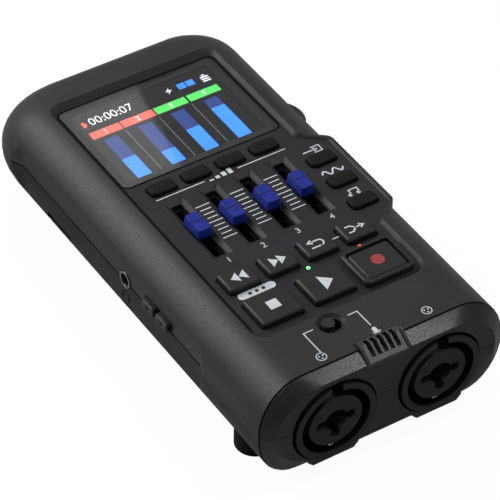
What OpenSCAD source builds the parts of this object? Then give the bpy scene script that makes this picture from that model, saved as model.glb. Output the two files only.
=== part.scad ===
/* [Case] */
// Width of the case at its widest line
body_w = 70; // [70:0.5:80]
// Length of the case from the rims of the sockets to the rear
body_l = 134.5; // [132:0.5:150]
// Height of the lower case, from its flat bottom to the parting line
lower_h = 14.5; // [13:0.25:17]
// Wall of the case halves
wall = 2; // [1.6:0.1:2.3]
// Thickness of the control panel
panel_t = 1.6; // [1.4:0.1:2.2]
// Depth of the control panel below the top rim
panel_depth = 1.3; // [1:0.1:2]
// Width of the rounded upper shoulders at the sides
shoulder_w = 12.5; // [11.5:0.5:13]
// Width of the rounded upper shoulder at the rear
rear_shoulder_w = 9; // [7.5:0.5:12]
// Width of the rounded lower edges
keel_w = 10.5; // [9.5:0.5:13]
// Radius of the rear corners seen from above
corner_r = 11.5; // [10:0.5:14]
// Depth of the flat grip recess in each side
side_recess = 1.7; // [1:0.1:2]
// Length of the chamfered front bezel, with the rims of the sockets
bezel_l = 4.7; // [4.2:0.1:6]

/* [Display] */
// Width of the display window
glass_w = 46.5; // [44:0.25:47]
// Length of the display window
glass_l = 34.5; // [32:0.25:36]
// Thickness of the display window
glass_t = 1; // [0.8:0.1:1.1]
// Distance from the case's rear end to the display window
display_margin = 16.5; // [16:0.25:20]

/* [Controls] */
// Distance between neighbouring faders
fader_pitch = 10; // [9.5:0.1:10.5]
// Travel of a fader
fader_travel = 15; // [12:0.5:16]
// Width of a fader cap
cap_w = 4.2; // [3.6:0.1:4.4]
// Length of a fader cap
cap_l = 7.6; // [6.5:0.1:8]
// Height of a fader cap above the control panel
cap_h = 2.2; // [1.8:0.1:4]
// Width of a track or function button
pad_w = 7.4; // [6.5:0.1:7.8]
// Length of a track or function button
pad_l = 4; // [3.5:0.1:4.4]
// Width of a small key at its foot
key_w = 8.4; // [7.5:0.1:9]
// Length of a small key at its foot
key_l = 6.8; // [6:0.1:7.2]
// Distance between neighbouring small keys
key_pitch = 11.3; // [10.8:0.1:11.8]
// Width of a large key at its foot
big_w = 11.5; // [10.5:0.1:12]
// Length of a large key at its foot
big_l = 9.7; // [9:0.1:10]
// Distance between neighbouring large keys
big_pitch = 15; // [14.4:0.1:15.4]
// Travel of a button or key
press_travel = 0.6; // [0.4:0.1:0.8]
// Radius of the selection dial
dial_r = 7.2; // [6.5:0.1:7.4]
// Thickness of the selection dial
dial_t = 5.2; // [4:0.1:5.3]
// Travel of the source switch
source_travel = 1.8; // [1:0.1:2]
// Length of a volume button in the left side
volume_l = 5.4; // [4.8:0.1:6.4]

/* [Sockets] */
// Distance between the two combination sockets
socket_pitch = 30; // [29:0.5:31]
// Bore of a combination socket's shell
shell_bore = 19.2; // [18.8:0.1:19.6]
// Depth of a combination socket
socket_l = 21.5; // [20:0.5:23]
// Diameter of the insert in a combination socket
insert_d = 14.8; // [14:0.1:15.6]
// Bore of the phone jack in the middle of a combination socket
jack_bore = 6.4; // [6.35:0.05:6.6]
// Bore of the headphone socket
phones_bore = 3.6; // [3.5:0.05:3.8]

/* [Power] */
// Diameter of a battery cell
cell_d = 14.1; // [13.8:0.1:14.2]
// Length of a battery cell
cell_l = 50.5; // [48:0.5:51]
// Thickness of the battery cover and of the lower case's floor
floor_t = 1.6; // [1.4:0.1:2]

/* [Feet] */
// Height of the case's flat bottom above the ground
foot_h = 5; // [3:0.25:8]
// Radius of a front foot
foot_r = 5.2; // [4.5:0.1:5.6]
// Width of a rear foot, which is a bar across the case
rear_foot_w = 14; // [8:0.5:18]

/* [Hidden] */
$fn = 48;

// Clearances: round fits, sliding and moving pieces, seats that only locate, and cut overshoot
fit = 0.05;
gap = 0.35;
seat = 0.15;
over = 1;

// Heights, from the ground up: cover, cells, bay ceiling, main board, faders, panel, rim
bottom_z = foot_h;
part_z = bottom_z + lower_h;
cell_z = bottom_z + floor_t + gap + cell_d / 2;
ceiling_t = 0.8;
bay_top = cell_z + cell_d / 2 + seat + ceiling_t;
board_t = 1.6;
board_z = bay_top + 0.3;
board_top = board_z + board_t;
fader_body_h = 6.1;
panel_under = board_top + fader_body_h + gap;
panel_z = panel_under + panel_t;
ledge_t = 0.8;
ledge_w = 0.8;
cavity_top = panel_under - ledge_t;
top_z = panel_z + panel_depth;
upper_h = top_z - part_z;

// Ends and sides
front_y = -body_l / 2;
rear_y = body_l / 2;
bezel_y = front_y + bezel_l;
rim_proud = 0.7;
face_y = front_y + rim_proud;
side_x = body_w / 2;
flat_x = side_x - side_recess;
side_wall = wall + side_recess;
groove_w = 0.25;
groove_d = 0.5;

// Buttons and keys: heights above the panel, flange under it and room over the switches
pad_h = 1.1;
pad_r = 1.1;
key_h = 1.7;
key_r = 0.6;
key_bevel = 0.4;
flange_t = 0.9;
flange_w = 0.5;
flange_z = panel_under - 0.2;
plunger_w = 2.4;
plunger_z = flange_z - flange_t - 0.5;
switch_w = 4.4;
switch_top = plunger_z - press_travel - 0.25;
guard_t = 1;
guard_h = 1.9;
guard_bevel = 0.35;
guard_room = 0.5;
guard_w = big_w + 2 * guard_room;
guard_l = big_l + 2 * guard_room;
lamp_r = 0.5;

// Faders
slot_w = 3.2;
slot_end = 1.1;
lever_w = 1.2;
lever_l = 3;
lever_z = board_top + 3;
pocket_d = 0.9;
end_room = 0.5;
pocket_l = fader_travel + cap_l + 2 * end_room;
pocket_w = cap_w + 2 * gap;
fader_body_w = fader_pitch - 2.6;
fader_body_l = fader_travel + lever_l + 4;

// Rows of the control panel: the large keys start behind the sockets, the display is set from the
// rear end, and the room between them is shared out around the buttons and the faders
lamp_row = 4.2;
row_share = [0.19, 0.53];
panel_edge = 2.7;
socket_back = front_y + socket_l + 0.6;
glass_rear = rear_y - display_margin;
glass_front = glass_rear - glass_l;
glass_mid = (glass_rear + glass_front) / 2;
big_y = socket_back + 2 * flange_w + big_l / 2;
key_y = big_y + big_l / 2 + lamp_row + key_l / 2;
row_room = glass_front - key_y - key_l / 2 - pad_l - pocket_l;
fader_y = key_y + key_l / 2 + row_share[1] * row_room + pocket_l / 2;
track_y = glass_front - row_share[0] * row_room - pad_l / 2;
lamp_y = big_y + big_l / 2 + (guard_room + guard_t + lamp_row) / 2;
panel_front = big_y - big_l / 2 - panel_edge;
panel_rear = glass_rear + 1;
panel_side = max(glass_w / 2 + 0.5, 1.5 * key_pitch + key_w / 2 + 1);
panel_slope = 0.85;
lane_x = [for (i = [0:3]) (i - 1.5) * fader_pitch];
key_x = [for (i = [0:3]) (i - 1.5) * key_pitch];
big_x = [for (i = [0:2]) (i - 1) * big_pitch];

// Shoulders: the side one is limited by the sloped rim of the panel
rim_w = 2.4;
top_shoulder = min(shoulder_w, side_x - panel_side - panel_slope * panel_depth + rim_w);
inner_less = 3;

// Function buttons in the zone that bulges over the right shoulder
function_pitch = 9.3;
function_x = (1.5 * fader_pitch + fader_body_w / 2 + flat_x) / 2 - 1.1;
function_y = [for (i = [0:2]) fader_y + 5.6 - i * function_pitch];
zone_side = function_x + pad_w / 2 + 1.8;
zone_rear = function_y[0] + pad_l / 2 + 3.4;
zone_front = function_y[2] - pad_l / 2 - 1.1;
zone_run = 5.4;
bulge_wall = 1.3;
bulge_top = panel_z + 0.5;
buttons = concat([for (x = lane_x) [x, track_y]], [for (y = function_y) [function_x, y]],
    [for (x = key_x) [x, key_y]], [for (x = big_x) [x, big_y]]);

// Display module under the window
ledge = 2.2;
shelf_t = 0.6;
module_w = glass_w - 2.5;
module_l = glass_l - 1.5;
module_top = panel_z - glass_t - shelf_t;
module_t = 2;

// Combination sockets
socket_x = [-socket_pitch / 2, socket_pitch / 2];
socket_z = part_z - 1.5;
shell_r = shell_bore / 2 + 1.7;
shell_back_t = 2;
mouth_r = shell_r + 0.6;
latch_w = 3.2;
latch_l = 3.5;
collar_t = 1.5;
collar_r = shell_r + 1.3;
insert_r = insert_d / 2;
insert_face = front_y + 0.3;
pin_turns = [0, 90, 180];
pin_circle = 4.1;
contact_r = 0.3;
pin_r = 1.45;
pin_l = 12;
pin_start = 3;
ground_tab = [1.6, 4.6, 0.5];
socket_board_t = 1.6;

// Microphone grille over the bezel's chamfer
grille_w = 12.4;
grille_y = bezel_y + 2.2;
grille_rise = 0.6;
grille_drop = 2.9;
grille_edge = 1.1;
grille_wall = 0.8;
mic_r = 3;
mic_h = 4;
mic_wall = 1.1;

// Source switch in front of the panel
source_r = 3.6;
source_x = -6.7;
source_y = panel_front - panel_slope * panel_depth - 0.2 - source_r;
source_knob_r = 1.6;
source_recess = 0.9;
source_slope = 0.7;
source_stem = 1.5;
source_body_t = 1.5;
source_body_w = source_travel + source_stem + 1.9;
source_body_l = 4.4;

// Battery bay at the rear, and the cover with its rounded hinge edge and the grip ear on its left
cell_gap = 0.3;
contact_t = 1.2;
plate_w = cell_d - 5;
cell_tip_r = 2.7;
cell_tip_l = 1.5;
bay_l = cell_l + 2 * contact_t + 2 * seat;
bay_wall = 1;
cell_count = floor(2 * (side_x - side_wall - bay_wall) / (cell_d + cell_gap));
bay_rear = rear_y - 9.3;
bay_front = bay_rear - bay_l;
bay_mid = (bay_rear + bay_front) / 2;
bay_x = cell_count * (cell_d + cell_gap) / 2;
cell_x = [for (i = [0:cell_count - 1]) (i - (cell_count - 1) / 2) * (cell_d + cell_gap)];
cover_x = bay_x - 1.2;
cover_front = bay_front + 0.4;
cover_rear = bay_rear - 0.6;
nose_r = floor_t / 2 - 0.1;
nose_x = side_x - keel_w - 1;
nose_y = cover_front + nose_r;
nose_z = bottom_z + floor_t / 2;
ear_front = bay_mid - 4.7;
ear_l = 10;
ear_rear = ear_front + ear_l;
ear_top = bottom_z + 6.9;
ear_notch = 1.6;
ear_groove_h = 1.3;
ear_groove_d = 1.4;

// Headphone socket and volume buttons in the left side
side_room = 0.7;
phones_r = 2.4;
phones_w = 6;
phones_h = 4.2;
phones_l = 13;
phones_y = bay_front - bay_wall - 1.6 - phones_w / 2;
phones_z = board_z - phones_h / 2;
volume_h = 2.6;
volume_split = 1;
volume_set = 9.4;
volume_proud = 1.4;
volume_bevel = 0.3;
volume_back = 0.3;
volume_pocket_l = 2 * volume_l + volume_split + 2 * gap;
volume_pocket_d = volume_back + press_travel + 0.2;
volume_y = phones_y - volume_set - volume_pocket_l / 2;
volume_z = part_z + volume_h / 2 + gap;
volume_step = (volume_l + volume_split) / 2;
volume_at = [volume_y + volume_step, volume_y - volume_step];
volume_stem_l = 2.4;
volume_stem_h = 1.4;
volume_body_l = 2 * volume_step + volume_stem_l + 4;
volume_body_x = flat_x - wall - 0.8;
volume_body_w = 4;
volume_well = volume_body_w - 1;
volume_stem_end = volume_well - press_travel - 0.4;

// Selection dial in the right side
dial_x = side_x - 0.3 - dial_r;
dial_set = 26.5;
dial_y = glass_rear - dial_set;
dial_z = bay_top + 0.4;
dial_edge = 1;
dial_shaft_r = 1.5;
encoder_w = 3.6;
encoder_z = dial_z + dial_t + 0.3;
encoder_t = 1.2;
encoder_top = encoder_z + encoder_t;

// Screws, feet and the posts that take them
post_r = 2;
lower_post_r = 2.6;
post_top = part_z + 0.66 * upper_h;
post_room = 0.5;
rib_t = 1.2;
case_screw_x = side_x - 7;
case_screw_y = panel_front + 13;
case_screws_at = [[-case_screw_x, case_screw_y], [case_screw_x, case_screw_y],
    [-side_x + 10.5, rear_y - 6.2], [side_x - 10.5, rear_y - 6.2]];
screw_r = 1.1;
screw_head_r = 2;
screw_head_t = 1.6;
screw_z = bottom_z + 6.5;
screw_l = board_z + 4 - screw_z;
board_half = case_screw_x - post_r - post_room;
board_rear = rear_y - 3.6;
board_corner = 11;
board_post_r = 1.5;
board_screw_r = 0.8;
board_screw_l = 3;
board_screw_x = board_half - board_post_r;
board_screw_y = big_y + (big_l + lamp_row) / 2;
board_screws_at = [[-board_screw_x, board_screw_y], [board_screw_x, board_screw_y],
    [-12, rear_y - 5.6], [12, rear_y - 5.6]];
board_head_r = 1.6;
board_head_t = 0.9;
foot_x = side_x - 9.4;
foot_y = bezel_y + 14.1;
rear_foot_r = 2.5;
rear_foot_x = side_x - rear_foot_w / 2 - 10;
rear_foot_y = rear_y - 6.5;
foot_sink = 6;
foot_edge = 0.6;

// USB and card sockets in the right side
usb_w = 9;
usb_h = 3.2;
usb_l = 7.5;
usb_wall = 0.35;
tongue_w = 6.6;
tongue_t = 0.7;
card_w = 14;
card_h = 2;
card_l = 15;
card_slot_w = 11.6;
card_slot_h = 1;
card_y = case_screw_y + post_r + 1.7 + card_w / 2;
usb_y = card_y + card_w / 2 + 2.8 + usb_w / 2;

// Outlines and lofted solids
arc_n = 8;
function unit(v) = v / norm(v);
function corner_arc(p, a, b, r, n) =
    let (u = unit(a - p), v = unit(b - p), half = acos(u * v) / 2)
    let (c = p + unit(u + v) * r / sin(half), s = p + u * r / tan(half) - c, e = p + v * r / tan(half) - c)
    let (from = atan2(s.y, s.x), turn = (atan2(e.y, e.x) - from + 540) % 360 - 180)
    [for (i = [0:n]) c + r * [cos(from + turn * i / n), sin(from + turn * i / n)]];
function rounded(pts, radii, n = 4) =
    [for (i = [0:len(pts) - 1])
        each corner_arc(pts[i], pts[(i + len(pts) - 1) % len(pts)], pts[(i + 1) % len(pts)], radii[i], n)];
function box_pts(w, l) = [[w / 2, l / 2], [-w / 2, l / 2], [-w / 2, -l / 2], [w / 2, -l / 2]];
function soft_box(w, l, r, n = 3) = rounded(box_pts(w, l), [r, r, r, r], n);
function at(pts, z) = [for (p = pts) [p.x, p.y, z]];
function arc(c, r, from, to, n = arc_n) =
    [for (i = [0:n]) c + r * [cos(from + (to - from) * i / n), sin(from + (to - from) * i / n)]];

module loft(rings, split = false) {
    n = len(rings[0]);
    m = len(rings);
    sides = [for (j = [0:m - 2]) for (i = [0:n - 1])
        let (a = j * n + i, b = j * n + (i + 1) % n)
        each (split ? [[a, a + n, b + n], [a, b + n, b]] : [[a, a + n, b + n, b]])];
    caps = [[for (i = [0:n - 1]) i], [for (i = [n - 1:-1:0]) (m - 1) * n + i]];
    polyhedron(points = [for (ring = rings) each ring], faces = concat(caps, sides), convexity = 8);
}

module slab(pts, from, to) {
    translate([0, 0, from]) linear_extrude(to - from) polygon(pts);
}

module block(lo, hi) {
    translate(lo) cube(hi - lo);
}

module along_y(x, y, z) {
    translate([x, y, z]) rotate([-90, 0, 0]) children();
}

module along_x(x, y, z) {
    translate([x, y, z]) rotate([0, 90, 0]) children();
}

// Front end of the case, which reaches further forward at the sides than on top
seam_lean = 1.6;
function seam_y(z) = bezel_y - seam_lean * min(1, (top_z - z) / upper_h);

// Outline of the case at one height, inset by dx at the sides and dy at the rear
function case_ring(dx, dy, r, z, y0, n = arc_n) =
    let (hx = side_x - dx, ry = rear_y - dy)
    let (right = arc([hx - r, ry - r], r, 0, 90, n), left = arc([r - hx, ry - r], r, 90, 180, n))
    at(concat([[hx, y0]], right, left, [[-hx, y0]]), z);
turn_n = 8;
inner_n = 4;
upper_turns = [for (i = [0:turn_n]) 90 * i / turn_n];
lower_turns = [for (i = [turn_n:-1:0]) 90 * i / turn_n];
inner_turns = [for (i = [0:inner_n]) 90 * i / inner_n];

module upper_outer() {
    rise = upper_h - groove_w;
    loft(concat([case_ring(groove_d, groove_d, corner_r, part_z, seam_y(part_z))],
        [for (t = upper_turns)
            let (k = 1 - cos(t), z = part_z + groove_w + rise * sin(t))
            case_ring(top_shoulder * k, rear_shoulder_w * k, corner_r, z, seam_y(z))]));
}

module upper_inner() {
    rise = cavity_top - part_z;
    start = front_y - over;
    r = corner_r - wall;
    loft(concat([case_ring(side_wall, wall, r, part_z - over, start, inner_n)],
        [for (t = inner_turns)
            let (k = 1 - cos(t), dx = side_wall + (top_shoulder - inner_less) * k)
            let (dy = wall + (rear_shoulder_w - inner_less) * k)
            case_ring(dx, dy, r, part_z + rise * sin(t), start, inner_n)]));
}

module lower_outer() {
    drop = lower_h - groove_w;
    loft(concat([for (t = lower_turns)
            let (d = keel_w * (1 - cos(t)), z = part_z - groove_w - drop * sin(t))
            case_ring(d, d, corner_r, z, seam_y(z))],
        [case_ring(groove_d, groove_d, corner_r, part_z, seam_y(part_z))]));
}

module lower_inner() {
    drop = lower_h - floor_t;
    start = front_y - over;
    r = corner_r - wall;
    loft(concat([for (t = inner_turns)
            let (d = (keel_w - inner_less) * (1 - sin(t)))
            case_ring(side_wall + d, wall + d, r, part_z - drop * cos(t), start, inner_n)],
        [case_ring(side_wall, wall, r, part_z + over, start, inner_n)]));
}

// Flat grip recess in both sides, with sloped ends and the parting line carried along it
recess_set = [11.2, 17];
recess_front = panel_front + recess_set[0];
recess_rear = rear_y - recess_set[1];
recess_run = 3.5;
function recess_pts(s, e) =
    let (run = recess_run * (side_recess + over + e) / side_recess, x = side_x + over)
    [[s * (flat_x - e), recess_front], [s * x, recess_front - run], [s * x, recess_rear + run],
        [s * (flat_x - e), recess_rear]];
module grip_cut() {
    for (s = [-1, 1]) {
        slab(recess_pts(s, 0), 0, top_z);
        slab(recess_pts(s, groove_d), part_z - groove_w, part_z + groove_w);
    }
}

// Control panel outline, widened by e, with the zone of the function buttons
function panel_pts(e) =
    let (k = 0.4 * e, sx = panel_side + e, zx = zone_side + e)
    rounded([[sx, panel_rear + e], [-sx, panel_rear + e], [-sx, panel_front - e], [sx, panel_front - e],
        [sx, zone_front - zone_run - k], [zx, zone_front - k], [zx, zone_rear + k],
        [sx, zone_rear + zone_run + k]],
        [2.8, 2.8, 4, 4, 2, 1.5, 1.5, 2]);

// Opening for the control panel, with the ledge that carries it and the sloped rim around it
module panel_cut() {
    deep = panel_depth + over;
    loft([at(panel_pts(-ledge_w), part_z + 5), at(panel_pts(-ledge_w), panel_under),
        at(panel_pts(0), panel_under), at(panel_pts(0), panel_z),
        at(panel_pts(panel_slope * deep), panel_z + deep)]);
}

module function_bulge() {
    x = zone_side + bulge_wall;
    slab(rounded([[x, zone_rear + 0.6], [panel_side - 6, zone_rear + zone_run + 6.6],
        [panel_side - 6, zone_front - zone_run - 6.6], [x, zone_front - 0.6]], [2.5, 1, 1, 2.5]),
        part_z + upper_h / 2, bulge_top);
}

module pad_hole(at_xy, w, l, r) {
    translate(at_xy) slab(soft_box(w + 2 * gap, l + 2 * gap, r + gap), panel_under - over, panel_z + over);
}

module fader_cut(x) {
    top = soft_box(pocket_w + 0.6, pocket_l + 0.6, 0.6);
    floor_pts = soft_box(slot_w + 0.6, pocket_l - 1.6, 0.5);
    translate([x, fader_y, 0]) {
        loft([at(floor_pts, panel_z - pocket_d), at(top, panel_z), at(top, panel_z + over)]);
        slab(soft_box(slot_w, pocket_l - 2 * slot_end, 0.5), panel_under - over, panel_z);
    }
}

module display_cut() {
    translate([0, glass_mid, 0]) {
        slab(soft_box(glass_w + 2 * seat, glass_l + 2 * seat, 2 + seat), panel_z - glass_t, panel_z + over);
        slab(soft_box(glass_w - 2 * ledge, glass_l - 2 * ledge, 1), panel_under - over, panel_z);
        slab(box_pts(module_w + 2 * seat, module_l + 2 * seat), panel_under - over, module_top);
    }
}

module source_cut() {
    translate([source_x, source_y, 0]) {
        translate([0, 0, top_z - source_recess])
            cylinder(r1 = source_r - source_slope, r2 = source_r, h = source_recess);
        translate([0, 0, top_z]) cylinder(r = source_r, h = over);
        slab(soft_box(2 * source_knob_r + source_travel + 2 * gap, 2 * source_knob_r + 2 * gap,
            source_knob_r + gap), cavity_top - over, top_z);
    }
}

// Openings that both halves share: sockets and buttons in the sides
module side_cuts() {
    along_x(-side_x - over, phones_y, phones_z) cylinder(r = phones_r + seat, h = side_wall + 2 * over);
    block([flat_x - wall - over, usb_y - usb_w / 2 - seat, board_z - usb_h - seat],
        [side_x + over, usb_y + usb_w / 2 + seat, board_z + seat]);
    block([flat_x - wall - over, card_y - card_slot_w / 2 - seat, board_z - card_h / 2 - card_slot_h],
        [side_x + over, card_y + card_slot_w / 2 + seat, board_z - card_h / 2 + card_slot_h]);
    block([-side_x - over, volume_y - volume_pocket_l / 2, volume_z - volume_h / 2 - gap],
        [volume_pocket_d - flat_x, volume_y + volume_pocket_l / 2, volume_z + volume_h / 2 + gap]);
    for (y = volume_at) volume_stem(y, gap, -side_x, over - flat_x + wall);
}

// Stem of a volume button, widened by c, along X
module volume_stem(y, c, from, to) {
    block([from, y - volume_stem_l / 2 - c, volume_z - volume_stem_h / 2 - c],
        [to, y + volume_stem_l / 2 + c, volume_z + volume_stem_h / 2 + c]);
}

module dial_slot() {
    translate([dial_x, dial_y, dial_z - 0.3]) cylinder(r = dial_r + 0.5, h = dial_t + 0.6);
    translate([dial_x, dial_y, 0])
        slab(box_pts(encoder_w + 2 * gap, encoder_w + 2 * gap), dial_z, encoder_top);
}

// Posts inside the upper case, ending inside its wall, with a rib from each front board post to a case post
module upper_posts() {
    for (p = case_screws_at) cylinder_at(p, post_r, part_z, post_top);
    for (p = board_screws_at)
        cylinder_at(p, board_post_r, board_top, p.y > 0 ? post_top : panel_under - fit);
    for (x = [-case_screw_x, board_screw_x])
        block([x, board_screw_y - rib_t / 2, board_top + 1],
            [x + case_screw_x - board_screw_x, board_screw_y + rib_t / 2, panel_under - fit]);
}

module upper_holes() {
    for (p = case_screws_at) cylinder_at(p, screw_r + fit, part_z - over, screw_z + screw_l + over);
    for (p = board_screws_at)
        cylinder_at(p, board_screw_r + fit, board_top - over, board_top + board_screw_l + over);
}

module upper_case() {
    color([0.2, 0.2, 0.21]) difference() {
        union() {
            difference() {
                union() {
                    upper_outer();
                    function_bulge();
                }
                upper_inner();
                panel_cut();
            }
            upper_posts();
        }
        upper_holes();
        source_cut();
        grip_cut();
        side_cuts();
        dial_slot();
        grille_room();
    }
}

// Plate with the display, the fader slots and the holes for buttons, keys and lamps
module control_panel() {
    color([0.21, 0.21, 0.23]) difference() {
        slab(panel_pts(-fit), panel_under, panel_z);
        display_cut();
        for (x = lane_x) {
            fader_cut(x);
            pad_hole([x, track_y, 0], pad_w, pad_l, pad_r);
        }
        for (y = function_y) pad_hole([function_x, y, 0], pad_w, pad_l, pad_r);
        for (x = key_x) pad_hole([x, key_y, 0], key_w, key_l, key_r);
        for (x = big_x) pad_hole([x, big_y, 0], big_w, big_l, key_r);
        for (x = [big_x[1], big_x[2]])
            cylinder_at([x, lamp_y], lamp_r + fit, panel_under - over, panel_z + over);
    }
}

// Room that the microphone grille takes in the top of the case
module grille_room() {
    block([-grille_w / 2 - seat, front_y - over, top_z - grille_drop],
        [grille_w / 2 + seat, grille_y + seat, top_z + over]);
}

// Plan of the battery cover from its front, widened by c, with the grip ear and a notch behind it
module cover_plan(front, c, notch) {
    block([-cover_x - c, front, 0], [cover_x + c, cover_rear + c, cell_z]);
    block([-side_x - over, ear_front - c, 0], [0, ear_rear + notch, ear_top + c]);
}

module lower_case() {
    color([0.17, 0.17, 0.18]) difference() {
        union() {
            difference() {
                lower_outer();
                lower_inner();
            }
            lower_fittings();
        }
        for (p = case_screws_at) {
            cylinder_at(p, screw_head_r + 0.3, 0, screw_z);
            cylinder_at(p, screw_r + 0.2, 0, part_z + over);
        }
        grip_cut();
        side_cuts();
        cover_plan(cover_front - gap, gap, ear_notch);
        block([-side_x - over, ear_front - gap, ear_top],
            [ear_groove_d - flat_x, ear_rear + ear_notch, ear_top + ear_groove_h]);
    }
}

module cylinder_at(p, r, from, to) {
    translate([p.x, p.y, from]) cylinder(r = r, h = to - from);
}

// Battery bay, screw posts and the rib behind the socket board
module lower_fittings() {
    difference() {
        union() {
            for (p = case_screws_at) cylinder_at(p, lower_post_r, screw_z - seat, part_z);
            block([-bay_x - bay_wall, bay_front - bay_wall, screw_z],
                [bay_x + bay_wall, bay_rear + bay_wall, bay_top]);
            block([keel_w - side_x, bay_front - bay_wall, bottom_z + floor_t / 2],
                [side_x - keel_w, bay_rear + bay_wall, screw_z]);
        }
        block([-bay_x, bay_front, 0], [bay_x, bay_rear, bay_top - ceiling_t]);
    }
    block([keel_w - side_x, socket_back + socket_board_t, bottom_z + floor_t / 2],
        [side_x - keel_w, socket_back + socket_board_t + bay_wall, part_z - 4]);
}

// Half of the bezel's section as seen from the front, above the parting line for side 1, below for -1
function bezel_section(side, hx, a, b) =
    let (half = [for (t = upper_turns) [hx - a * (1 - cos(t)), part_z + side * (groove_w + b * sin(t))]])
    concat([[side * hx, part_z]], [for (p = half) [side * p.x, p.y]],
        [for (i = [turn_n:-1:0]) [-side * half[i].x, half[i].y]], [[-side * hx, part_z]]);
function on_seam(pts, d) = [for (p = pts) [p.x, seam_y(p.y) - d, p.y]];
function on_face(pts) = [for (p = pts) [p.x, face_y, p.y]];

// Bezel: a neck set in against the case, and a chamfered band up to the flat face
bezel_inset = 3.5;
top_drop = 2.1;
low_drop = 2.3;
face_round = [1.5, 3.5];
lip = 0.2;
neck_w = 0.4;
neck_d = 0.8;
module bezel_half(side, h, a, face_a, drop) {
    neck = bezel_section(side, side_x - neck_d, a, h - neck_d - groove_w);
    rim = bezel_section(side, side_x - lip, a, h - lip - groove_w);
    face = bezel_section(side, side_x - bezel_inset, face_a, h - drop - groove_w);
    loft([on_seam(neck, 0), on_seam(neck, 2 * neck_w)]);
    loft([on_seam(rim, neck_w), on_face(face)], true);
}

module mouths() {
    for (x = socket_x)
        along_y(x, front_y - over, socket_z) cylinder(r = mouth_r, h = bezel_l + 2 * over);
}

module front_bezel_upper() {
    color([0.13, 0.13, 0.14]) difference() {
        bezel_half(1, upper_h, top_shoulder, top_shoulder + face_round[0], top_drop);
        mouths();
        grille_room();
        block([-2 * mic_r, face_y + mic_wall, cavity_top - mic_h - 2 * seat],
            [2 * mic_r, bezel_y + over, top_z]);
    }
}

// Flat-bottomed block that carries the bezel's face under a socket
chin_w = 14.4;
chin_cut = 1.4;
chin_z = bottom_z + 0.5;
module chin(x) {
    half = chin_w / 2;
    back = seam_y(part_z) - neck_w;
    translate([x, back, 0]) rotate([90, 0, 0]) linear_extrude(back - face_y)
        polygon([[chin_cut - half, chin_z], [half - chin_cut, chin_z], [half, chin_z + chin_cut],
            [half, part_z], [-half, part_z], [-half, chin_z + chin_cut]]);
}

module front_bezel_lower() {
    color([0.13, 0.13, 0.14]) difference() {
        union() {
            bezel_half(-1, lower_h, keel_w, keel_w + face_round[1], low_drop);
            for (x = socket_x) chin(x);
        }
        mouths();
    }
}

module display_window() {
    color([0.05, 0.06, 0.08]) translate([0, glass_mid, 0])
        slab(soft_box(glass_w, glass_l, 2), panel_z - glass_t, panel_z - 0.05);
}

module display_module() {
    color([0.1, 0.12, 0.16]) translate([0, glass_mid, 0])
        slab(box_pts(module_w, module_l), module_top - module_t, module_top);
}

// Board with a bay cut for the dial and narrow front between the case posts
module main_board() {
    half = function_x + switch_w / 2 + 1;
    color([0.1, 0.3, 0.16]) difference() {
        union() {
            block([-half, key_y - key_l / 2 - post_room, board_z], [half, board_rear, board_top]);
            block([-board_half, socket_back + 0.6, board_z], [board_half, key_y, board_top]);
        }
        translate([dial_x, dial_y, board_z - over]) cylinder(r = dial_r + 1, h = board_t + 2 * over);
        for (s = [-1, 1]) translate([s * half, board_rear, board_z - over])
            cylinder(r = board_corner, h = board_t + 2 * over);
        for (p = board_screws_at) cylinder_at(p, board_screw_r + 0.2, board_z - over, board_top + over);
    }
}

module socket_board() {
    color([0.1, 0.3, 0.16])
        block([-socket_pitch / 2 - shell_r, socket_back, bottom_z + 4], [socket_pitch / 2 + shell_r,
            socket_back + socket_board_t, board_z - 0.3]);
}

module combo_shell(x) {
    color([0.07, 0.07, 0.075]) difference() {
        union() {
            along_y(x, front_y, socket_z) cylinder(r = shell_r, h = socket_back - front_y);
            intersection() {
                along_y(x, bezel_y, socket_z) cylinder(r = collar_r, h = collar_t);
                block([-side_x, front_y, bottom_z + floor_t + 0.6], [side_x, rear_y, cavity_top - 0.4]);
            }
        }
        along_y(x, front_y - over, socket_z)
            cylinder(r = shell_bore / 2, h = socket_back - shell_back_t - front_y + over);
        block([x - latch_w / 2, front_y - over, socket_z],
            [x + latch_w / 2, front_y + latch_l, socket_z + shell_r + over]);
    }
}

module combo_shell_a() { combo_shell(socket_x[0]); }
module combo_shell_b() { combo_shell(socket_x[1]); }

module combo_insert(x) {
    color([0.16, 0.16, 0.17]) difference() {
        along_y(x, insert_face, socket_z)
            cylinder(r = insert_r, h = socket_back - shell_back_t - insert_face);
        along_y(x, front_y, socket_z) cylinder(d = jack_bore, h = socket_l - 4);
        for (a = pin_turns)
            along_y(x + pin_circle * cos(a), front_y, socket_z - pin_circle * sin(a))
                cylinder(r = pin_r, h = pin_l);
    }
}

module combo_insert_a() { combo_insert(socket_x[0]); }
module combo_insert_b() { combo_insert(socket_x[1]); }

// Spring contacts that line the outer side of the pin holes, and the earth tab under each insert
module combo_contacts() {
    reach = pin_circle + pin_r - contact_r - fit;
    color([0.75, 0.75, 0.72]) for (x = socket_x) {
        for (a = pin_turns)
            along_y(x + reach * cos(a), front_y + pin_start, socket_z - reach * sin(a))
                cylinder(r = contact_r, h = pin_l - pin_start);
        translate([x - ground_tab.x, insert_face + gap, socket_z - insert_r - fit - ground_tab.z])
            cube(ground_tab);
    }
}

module headphone_socket() {
    color([0.7, 0.7, 0.68]) difference() {
        union() {
            along_x(-flat_x - 0.3, phones_y, phones_z) cylinder(r = phones_r, h = wall + 1.5);
            block([side_room - flat_x + wall, phones_y - phones_w / 2, phones_z - phones_h / 2],
                [phones_l - flat_x + wall, phones_y + phones_w / 2, phones_z + phones_h / 2]);
        }
        along_x(-side_x - over, phones_y, phones_z) cylinder(d = phones_bore, h = phones_l + over);
    }
}

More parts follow.
